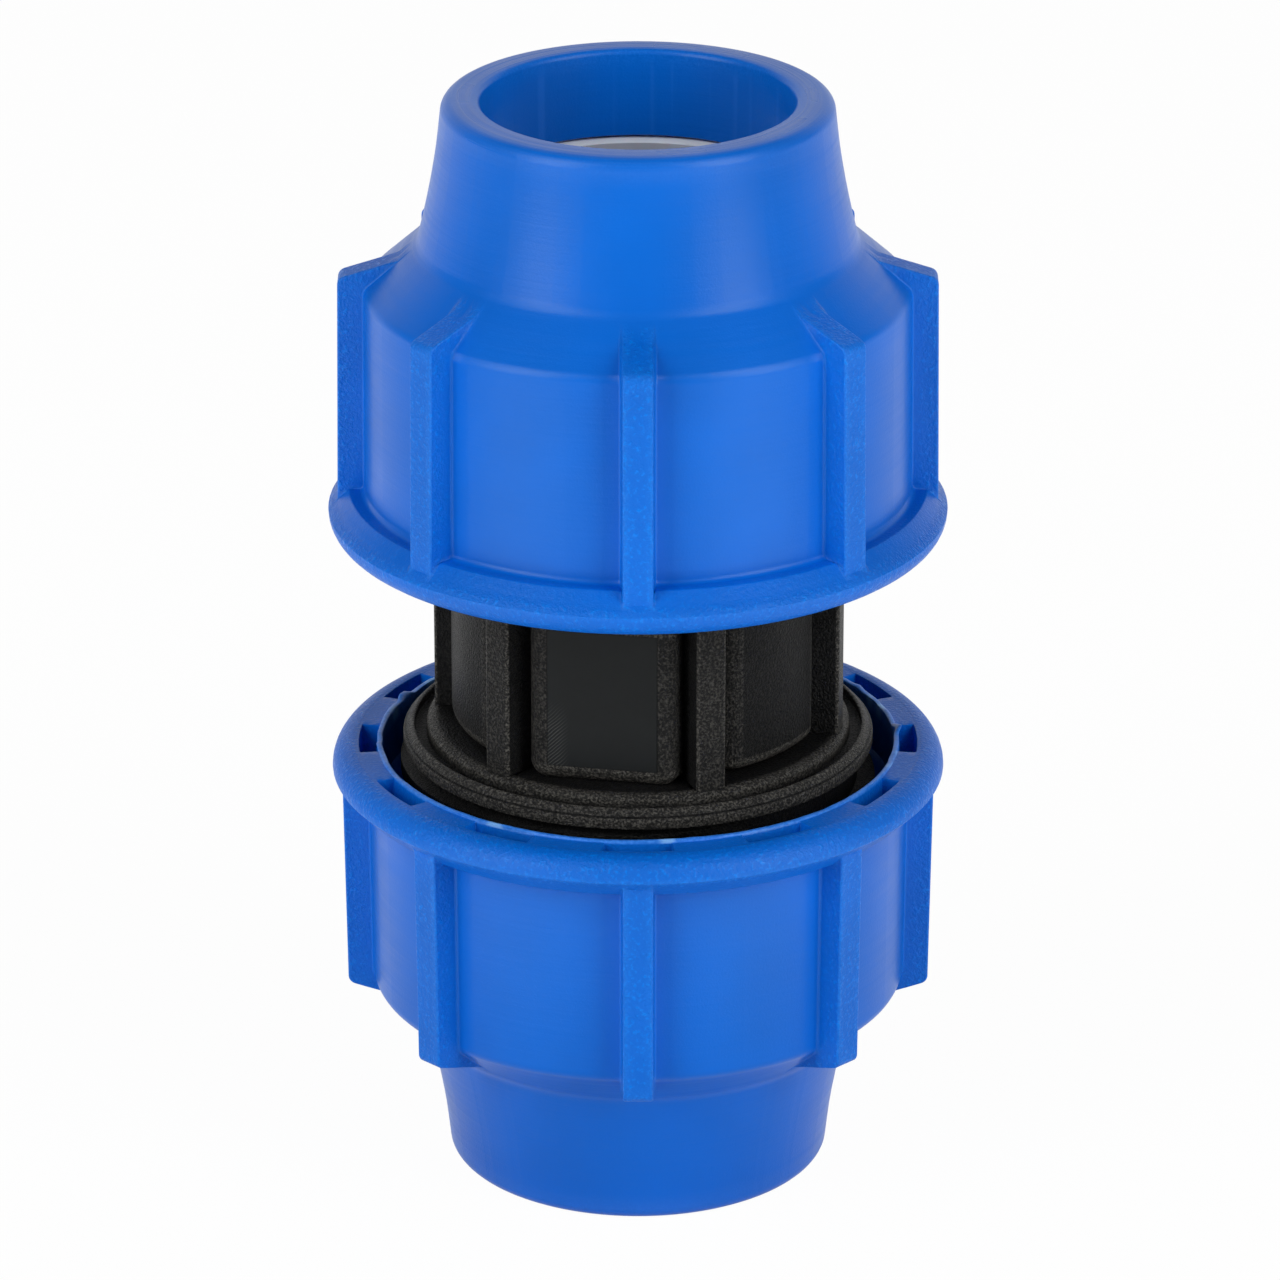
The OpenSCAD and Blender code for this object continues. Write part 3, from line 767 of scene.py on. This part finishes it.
def blue_finish(settings):
    """Satin blue polypropylene: eroded grain on ribs and flange, fine turning marks elsewhere."""
    material, w = bare_material("blue_polypropylene")
    place, x, y, z, radius = axis_place(w)
    eroded = mark(w, "grain")
    wear, flash = mark(w, "wear"), mark(w, "flash")
    polish, inside = mark(w, "polish"), mark(w, "inside")
    cloud = grain(w, place, 55.0, 2.0)
    fine = grain(w, place, 4200.0, 2.0, 0.65)
    coarse = grain(w, place, 2300.0, 2.0, 0.55)
    flat = w.read("ShaderNodeCombineXYZ", X=x * 50.0, Y=y * 50.0, Z=z * 1900.0)
    turned = grain(w, flat, 1.0, 2.0, 0.6)
    rings = grain(w, w.read("ShaderNodeCombineXYZ", X=radius * 4200.0, Y=x * 30.0, Z=y * 30.0), 1.0,
                  2.0, 0.6)
    drawn = grain(w, w.read("ShaderNodeCombineXYZ", X=x * 900.0, Y=y * 900.0, Z=z * 14.0), 1.0,
                  1.0)
    blue = settings.blue
    tone = blend(w, cloud.ramp(0.3, 0.7), darker(blue, 0.93), darker(blue, 1.05))
    # Lighter along the edges and rounds: partly rubbing, partly painted highlight.
    tone = blend(w, wear * fine.ramp(0.35, 0.75) * settings.wear, tone, (0.02, 0.25, 0.86))
    tone = blend(w, flash * (0.35 + 0.5 * coarse.ramp(0.35, 0.65)), tone, (0.06, 0.27, 0.86))
    tone = blend(w, polish * rings.ramp(0.35, 0.7) * 0.4, tone, (0.10, 0.20, 0.55))
    tone = blend(w, inside * drawn.ramp(0.62, 0.78) * 0.22, tone, (0.03, 0.20, 0.75))
    # Lighter specks on the eroded grain: painted glints.
    glint_speck = coarse.ramp(0.52, 0.72) * eroded
    tone = blend(w, glint_speck * 0.5, tone, (0.0, 0.24, 0.86))
    # Pale spots along the flash: painted glints.
    nick = grain(w, place, 190.0, 1.0).ramp(0.60, 0.68) * flash
    tone = blend(w, nick * 0.9, tone, (0.22, 0.50, 0.95))
    rough = settings.satin + eroded * (0.10 - 0.16 * glint_speck) + (turned - 0.5) * 0.18 - polish * 0.05
    rough_skin = eroded * (2.4 * coarse + 1.2 * fine) * settings.grain
    smooth_skin = (1 - eroded) * (0.5 * turned + 0.4 * fine + inside * 0.12 * drawn)
    surface(w, tone, rough, rough_skin + smooth_skin + polish * rings * 1.5, 0.00005,
            IOR=PLASTIC_IOR, Specular_IOR_Level=0.26, Specular_Tint=(0.9, 0.95, 0.6, 1.0))
    return material


# The tool marks on the front pad in metres: where they start and end, across and up, and how
# closely they follow each other
TOOL_LEFT, TOOL_RIGHT = (-0.0100, -0.0096), (-0.0070, -0.0086)
TOOL_LOW, TOOL_HIGH = (0.0515, 0.0525), (0.0600, 0.0560)
TOOL_PITCH = 15000.0


def black_finish(settings):
    """Black polypropylene: a fine grain with painted glints and painted light on the rounds, and
    flat tool-marked pads.
    """
    material, w = bare_material("black_polypropylene")
    place, x, _, z, _ = axis_place(w)
    smooth, wear, lit = mark(w, "smooth"), mark(w, "wear"), mark(w, "lit")
    leather = grain(w, place, 3800.0, 2.0, 0.6)
    fine = grain(w, place, 5600.0, 2.0, 0.6)
    cloud = grain(w, place, 180.0, 3.0, 0.6)
    black = settings.black
    phase = (z - x) * TOOL_PITCH + 6.0 * grain(w, place, 500.0)
    stroke = phase.wave().ramp(0.2, 1.0) * smooth * x.ramp(*TOOL_LEFT) * x.ramp(*TOOL_RIGHT) \
        * z.ramp(*TOOL_LOW) * z.ramp(*TOOL_HIGH)
    tone = blend(w, cloud.ramp(0.35, 0.7), black, darker(black, 1.7))
    # The lit rounds and bands and the marked edges are painted lighter below: painted light and
    # painted highlight.
    bright = lit.largest(wear * 1.4).smallest(1)
    tone = blend(w, smooth * (0.6 + 0.4 * cloud), tone, (0.011, 0.0125, 0.0125))
    tone = blend(w, bright * 0.8, tone, (0.015, 0.0147, 0.0138))
    # Pale flecks, faint all over and strongest on the lit rounds: painted glints.
    glint_fleck = (1 - smooth) * (0.75 * leather + 0.25 * fine).ramp(0.42, 0.68) * (0.12 + 0.88 * bright)
    tone = blend(w, glint_fleck * settings.glint_fleck, tone, (0.17, 0.162, 0.143))
    tone = blend(w, stroke * 0.4, tone, (0.10, 0.10, 0.095))
    rough = 0.42 - 0.10 * glint_fleck - smooth * 0.04 + (cloud - 0.5) * 0.1
    skin = (1 - smooth) * (1.4 * leather + 0.6 * fine) * settings.grain
    surface(w, tone, rough, skin + smooth * (0.03 * fine + 0.05 * cloud) + 0.1 * stroke, 0.0002,
            IOR=PLASTIC_IOR, Specular_IOR_Level=0.12)
    return material


def natural_finish(settings):
    """Natural white acetal with fine turning lines."""
    material, w = bare_material("natural_acetal")
    place, _, _, z, radius = axis_place(w)
    lines = grain(w, w.read("ShaderNodeCombineXYZ", X=radius * 5200.0, Y=z * 2600.0), 1.0, 1.0)
    cloud = grain(w, place, 260.0, 3.0)
    tone = blend(w, cloud.ramp(0.3, 0.7), darker(settings.natural, 0.92), settings.natural)
    tone = blend(w, lines.ramp(0.5, 0.75) * 0.25, tone, darker(settings.natural, 0.8))
    surface(w, tone, 0.34 + 0.14 * cloud, lines * 0.3 + cloud * 0.2, 0.00003,
            IOR=ACETAL_IOR, Subsurface_Weight=0.08, Subsurface_Scale=0.002)
    return material


def bush_finish(settings):
    """Smooth black plastic of the thrust bushes."""
    material, w = bare_material("black_bush_plastic")
    place = w.node("ShaderNodeTexCoord").outputs["Object"]
    cloud = grain(w, place, 420.0, 3.0)
    fine = grain(w, place, 3600.0, 2.0)
    tone = blend(w, cloud.ramp(0.3, 0.7), darker(settings.black, 1.1), darker(settings.black, 2.1))
    surface(w, tone, 0.36 + 0.15 * cloud, fine * 0.3 + cloud * 0.4, 0.00004, IOR=PLASTIC_IOR)
    return material


def rubber_finish():
    """Matt black rubber with a bloom of talc."""
    material, w = bare_material("seal_rubber")
    place = w.node("ShaderNodeTexCoord").outputs["Object"]
    bloom = grain(w, place, 700.0, 4.0, 0.7)
    tone = blend(w, bloom.ramp(0.45, 0.85), (0.011, 0.011, 0.012), (0.05, 0.05, 0.052))
    surface(w, tone, 0.62 + 0.2 * bloom, bloom, 0.00003, IOR=RUBBER_IOR)
    return material


# ---- the stage ----

CAMERA_PLACE = (0.00021, -0.71737, 0.35263)
CAMERA_TILT = 67.7244
CAMERA_LENS = 204.43
CAMERA_CLIP = (0.05, 20)
SENSOR = 36.0

# The tall box of the right side and the low panel before it, in metres
BOX_PLACE, BOX_SIZE, BOX_TARGET = (0.65, -0.52, 0.48), (0.46, 0.9), (0, 0, 0.06)
PANEL_AWAY, PANEL_ANGLE, PANEL_SIZE = 0.24, 44.0, (0.16, 0.32)
PANEL_LIFT = 0.004
# What mirrors the floor sees it lit before the first Y and white past the second, because the
# satin plastic would lose its depth if it mirrored a white floor in front as well
FRONT_FLOOR = (-0.10, 0.05)


def soft_box(name, place, rotation, size, power):
    """A rectangular lamp."""
    data = bpy.data.lights.new(name, "AREA")
    data.shape = "RECTANGLE"
    data.size, data.size_y = size
    data.energy = power
    lamp = bpy.data.objects.new(name, data)
    bpy.context.scene.collection.objects.link(lamp)
    lamp.location = place
    lamp.rotation_euler = rotation
    return lamp


def seen_straight(w, behind):
    """1 for what the camera sees, straight, through glass, or mirrored where behind is 1."""
    path = w.node("ShaderNodeLightPath").outputs
    camera, glossy, through = (Reading(w, path[k]) for k in (
        "Is Camera Ray", "Is Glossy Ray", "Is Transmission Ray"))
    return camera.largest(glossy * behind).largest(through)


def floor_finish(studio):
    """A white sweep that keeps a soft shadow."""
    material, w = bare_material("white_sweep")
    place = w.node("ShaderNodeTexCoord").outputs["Object"]
    paper = grain(w, place, 900.0, 2.0)
    across = w.node("ShaderNodeSeparateXYZ", Vector=place).outputs["Y"]
    behind = Reading(w, across).ramp(*FRONT_FLOOR)
    tone = blend(w, paper, (0.86, 0.86, 0.86), (0.89, 0.89, 0.89))
    matt = w.node("ShaderNodeBsdfDiffuse", Color=tone, Roughness=0.5)
    glow = w.node("ShaderNodeEmission", Color=(1, 1, 1, 1), Strength=1.0)
    white = seen_straight(w, behind) * studio.whiteness
    mix = w.node("ShaderNodeMixShader")
    for value, socket in zip((white, matt.outputs[0], glow.outputs[0]), mix.inputs):
        w.feed(value, socket)
    w.node("ShaderNodeOutputMaterial", Surface=mix.outputs[0])
    return material


def sweep_mesh():
    """A floor that curves up into a wall behind the object."""
    radius, back, side, top, steps = 0.8, 2.6, 4.0, 2.6, 12
    section = [(-side, 0.0), (0.0, 0.0)]
    for k in range(steps + 1):
        turn = math.pi / 2 * k / steps
        section.append((back - radius + radius * math.sin(turn), radius - radius * math.cos(turn)))
    section.append((back, top))
    points = [(x, y, z) for y, z in section for x in (-side, side)]
    faces = [(2 * k, 2 * k + 1, 2 * k + 3, 2 * k + 2) for k in range(len(section) - 1)]
    mesh = bpy.data.meshes.new("floor")
    mesh.from_pydata(points, [], faces)
    mesh.shade_smooth()
    return mesh


def white_world(studio):
    """Plain light from all round."""
    world = bpy.data.worlds.new("white_room")
    bpy.context.scene.world = world
    world.use_nodes = True
    world.node_tree.nodes.clear()
    w = Weaver(world.node_tree)
    sky = w.node("ShaderNodeBackground", Color=(1, 1, 1, 1), Strength=studio.ambient)
    w.node("ShaderNodeOutputWorld", Surface=sky.outputs[0])


# ---- settings ----

class CouplingFinishSettings(PropertyGroup):
    blue: FloatVectorProperty(name="Nut Blue", description="Colour of the screw nuts",
                              default=(0.0, 0.129, 0.612), size=3, subtype="COLOR",
                              min=0, max=1)
    black: FloatVectorProperty(name="Body Black", description="Colour of the body and bushes",
                               default=(0.003, 0.0032, 0.0034), size=3, subtype="COLOR",
                               min=0, max=1)
    natural: FloatVectorProperty(name="Ring White", description="Colour of the grip rings",
                                 default=(0.80, 0.83, 0.88), size=3, subtype="COLOR",
                                 min=0, max=1)
    satin: FloatProperty(name="Satin", description="Roughness of the blue mouldings",
                         default=0.33, min=0.1, max=0.9, subtype="FACTOR")
    grain: FloatProperty(name="Grain", description="Depth of the eroded mould texture",
                         default=1.0, min=0, max=2, subtype="FACTOR")
    # Pale flecks on the black grain: painted glints, strongest on the lit rounds.
    glint_fleck: FloatProperty(name="Glint Flecks", description="Pale flecks in the black grain",
                         default=0.6, min=0, max=1, subtype="FACTOR")
    # Strength of the lighter edges on the nuts: partly rubbing, partly painted highlight.
    wear: FloatProperty(name="Edge Wear And Highlight", description="Rubbing along the edges",
                        default=0.4, min=0, max=1, subtype="FACTOR")


class CouplingShapeSettings(PropertyGroup):
    flash_rise: FloatProperty(name="Flash Height", description="Height of the flash at the mouth",
                              default=0.00026, min=0, max=0.0006, unit="LENGTH", precision=5)
    flash_seed: IntProperty(name="Flash Pattern", description="Pattern of the uneven flash",
                            default=4, min=0, max=99)


class CouplingStudioSettings(PropertyGroup):
    side_power: FloatProperty(name="Side Boxes", description="Power of each side soft box",
                              default=5.6, min=0, max=60, unit="POWER")
    low_power: FloatProperty(name="Low Panels", description="Power of each panel on the table",
                             default=0.19, min=0, max=10, unit="POWER")
    ambient: FloatProperty(name="Ambient", description="Strength of the room's own light",
                           default=0.15, min=0, max=1, subtype="FACTOR")
    whiteness: FloatProperty(name="Floor Whiteness", description="How far the floor goes white",
                             default=0.97, min=0, max=1, subtype="FACTOR")


# ---- operators ----

ENDS = (("upper", True), ("lower", False))


class COUPLING_OT_body(Operator):
    """Make the ribbed body with its two threads"""
    bl_idname = "coupling.body"
    bl_label = "Body"

    def execute(self, context):
        finish = black_finish(context.scene.coupling_finish)
        skin = grown("body_skin", skin_mesh("body_slice", body_grid(), BODY_MARKS),
                     repeat_tree(), {"Copies": 2, "Finish": finish})
        skin.transform(Matrix.Rotation(math.radians(FRONT + BODY_TURN), 4, "Z"))
        parts = [skin]
        low, high = COLLAR_Z - THREAD_RUN_OUT, THREAD_END + THREAD_RUN_OUT
        root_half = THREAD_CREST / 2 + THREAD_LEAN * (CREST_R - ROOT_R)
        start, steps = thread_course(low, high, root_half)
        first = (start - COLLAR_Z) / THREAD_PITCH * 360
        for end, upper in ENDS:
            ridge = thread_mesh(f"{end}_ridge", ROOT_R, CREST_R - ROOT_R, 2 * root_half,
                                THREAD_CREST, first, start, steps, finish)
            if not upper:
                ridge.transform(Matrix.Rotation(math.pi, 4, "X"))
            parts.append(ridge)
        mesh = joined("ribbed_body", parts, finish)
        piece("ribbed_body", mesh, Matrix.Translation((0, 0, MIDDLE * MM)), "coupling_body",
              ["body"])
        return {"FINISHED"}


class COUPLING_OT_nuts(Operator):
    """Make the two screw nuts with their ribs, pockets and inner threads"""
    bl_idname = "coupling.nuts"
    bl_label = "Screw Nuts"

    def execute(self, context):
        finish = blue_finish(context.scene.coupling_finish)
        shape = context.scene.coupling_shape
        rows, columns = nut_rows(), nut_columns()
        grid = [[nut_point(row, column) for column in columns] for row in rows]
        root_half, crest_half = ((THREAD_PITCH - THREAD_CREST) / 2 - THREAD_PLAY
                                 - THREAD_LEAN * (CREST_R - r) for r in (NUT_ROOT_R, NUT_CREST_R))
        low = MOUTH_Z + MOUTH_LEAD + THREAD_MARGIN - THREAD_RUN_OUT
        high = STEP_Z - STEP_LEAD - THREAD_MARGIN + THREAD_RUN_OUT
        start, steps = thread_course(low, high, root_half)
        first = (start - COLLAR_Z - THREAD_PITCH / 2) / THREAD_PITCH * 360
        for k, (end, upper) in enumerate(ENDS):
            skin = grown(f"{end}_skin", skin_mesh(f"{end}_slice", grid, NUT_MARKS),
                         repeat_tree(), {"Copies": 4, "Finish": finish})
            skin.transform(Matrix.Rotation(math.radians(FRONT), 4, "Z"))
            wave_lip(skin, shape.flash_rise, shape.flash_seed + 7.3 * k)
            ridge = thread_mesh(f"{end}_nut_ridge", NUT_ROOT_R, NUT_CREST_R - NUT_ROOT_R,
                                2 * root_half, 2 * crest_half, first, start, steps, finish)
            mesh = joined(f"{end}_screw_nut_shell", [skin, ridge], finish)
            piece(f"{end}_screw_nut_shell", mesh, at_end(upper), f"{end}_screw_nut",
                  [f"{end}_nut"])
        return {"FINISHED"}


def dress(part, finish):
    """Gives the CAD node of a part at each end its finish."""
    for end, _ in ENDS:
        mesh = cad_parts[f"{end}_{part}"].data
        mesh.materials.clear()
        mesh.materials.append(finish)


class COUPLING_OT_grip_rings(Operator):
    """Finish the split grip rings"""
    bl_idname = "coupling.grip_rings"
    bl_label = "Grip Rings"

    def execute(self, context):
        dress("grip_ring", natural_finish(context.scene.coupling_finish))
        return {"FINISHED"}


class COUPLING_OT_bushes(Operator):
    """Finish the thrust bushes"""
    bl_idname = "coupling.bushes"
    bl_label = "Thrust Bushes"

    def execute(self, context):
        dress("thrust_bush", bush_finish(context.scene.coupling_finish))
        return {"FINISHED"}


class COUPLING_OT_seals(Operator):
    """Finish the O-rings"""
    bl_idname = "coupling.seals"
    bl_label = "O-Rings"

    def execute(self, context):
        dress("o_ring", rubber_finish())
        return {"FINISHED"}


class COUPLING_OT_stage(Operator):
    """Set up the camera, the soft boxes, the floor and the room"""
    bl_idname = "coupling.stage"
    bl_label = "Stage"

    def execute(self, context):
        scene = context.scene
        studio = scene.coupling_studio
        data = bpy.data.cameras.new("camera")
        data.sensor_width, data.lens = SENSOR, CAMERA_LENS
        data.clip_start, data.clip_end = CAMERA_CLIP
        camera = bpy.data.objects.new("camera", data)
        scene.collection.objects.link(camera)
        camera.location = CAMERA_PLACE
        camera.rotation_euler = (math.radians(CAMERA_TILT), 0, 0)
        scene.camera = camera
        turn = math.radians(PANEL_ANGLE)
        for name, side in (("left", -1), ("right", 1)):
            place = Vector(BOX_PLACE) * Vector((side, 1, 1))
            aim = (Vector(BOX_TARGET) - place).to_track_quat("-Z", "Y").to_euler()
            soft_box(f"{name}_box", place, aim, BOX_SIZE, studio.side_power)
            low = (side * PANEL_AWAY * math.sin(turn), -PANEL_AWAY * math.cos(turn), PANEL_LIFT)
            panel = soft_box(f"{name}_panel", low, (math.pi, 0, side * turn), PANEL_SIZE,
                             studio.low_power)
            panel.visible_camera = False
        backdrop = sweep_mesh()
        backdrop.materials.append(floor_finish(studio))
        floor = bpy.data.objects.new("floor", backdrop)
        scene.collection.objects.link(floor)
        white_world(studio)
        scene.view_settings.view_transform = "Standard"
        return {"FINISHED"}


class COUPLING_PT_panel(Panel):
    bl_label = "Coupling"
    bl_space_type = "VIEW_3D"
    bl_region_type = "UI"
    bl_category = "Coupling"

    def draw(self, context):
        for operator in OPERATORS:
            self.layout.operator(operator.bl_idname)
        for group in ("coupling_finish", "coupling_shape", "coupling_studio"):
            settings = getattr(context.scene, group)
            for key in settings.__annotations__:
                self.layout.prop(settings, key)


SETTINGS = (("coupling_finish", CouplingFinishSettings),
            ("coupling_shape", CouplingShapeSettings),
            ("coupling_studio", CouplingStudioSettings))
OPERATORS = (COUPLING_OT_body, COUPLING_OT_nuts, COUPLING_OT_grip_rings, COUPLING_OT_bushes,
             COUPLING_OT_seals, COUPLING_OT_stage)


def register():
    for name, group in SETTINGS:
        bpy.utils.register_class(group)
        setattr(bpy.types.Scene, name, PointerProperty(type=group))
    for operator in OPERATORS:
        bpy.utils.register_class(operator)
    bpy.utils.register_class(COUPLING_PT_panel)


def unregister():
    bpy.utils.unregister_class(COUPLING_PT_panel)
    for operator in reversed(OPERATORS):
        bpy.utils.unregister_class(operator)
    for name, group in reversed(SETTINGS):
        delattr(bpy.types.Scene, name)
        bpy.utils.unregister_class(group)


def main():
    register()
    bpy.ops.coupling.body()
    bpy.ops.coupling.nuts()
    bpy.ops.coupling.grip_rings()
    bpy.ops.coupling.bushes()
    bpy.ops.coupling.seals()
    bpy.ops.coupling.stage()


if __name__ == "__main__":
    main()
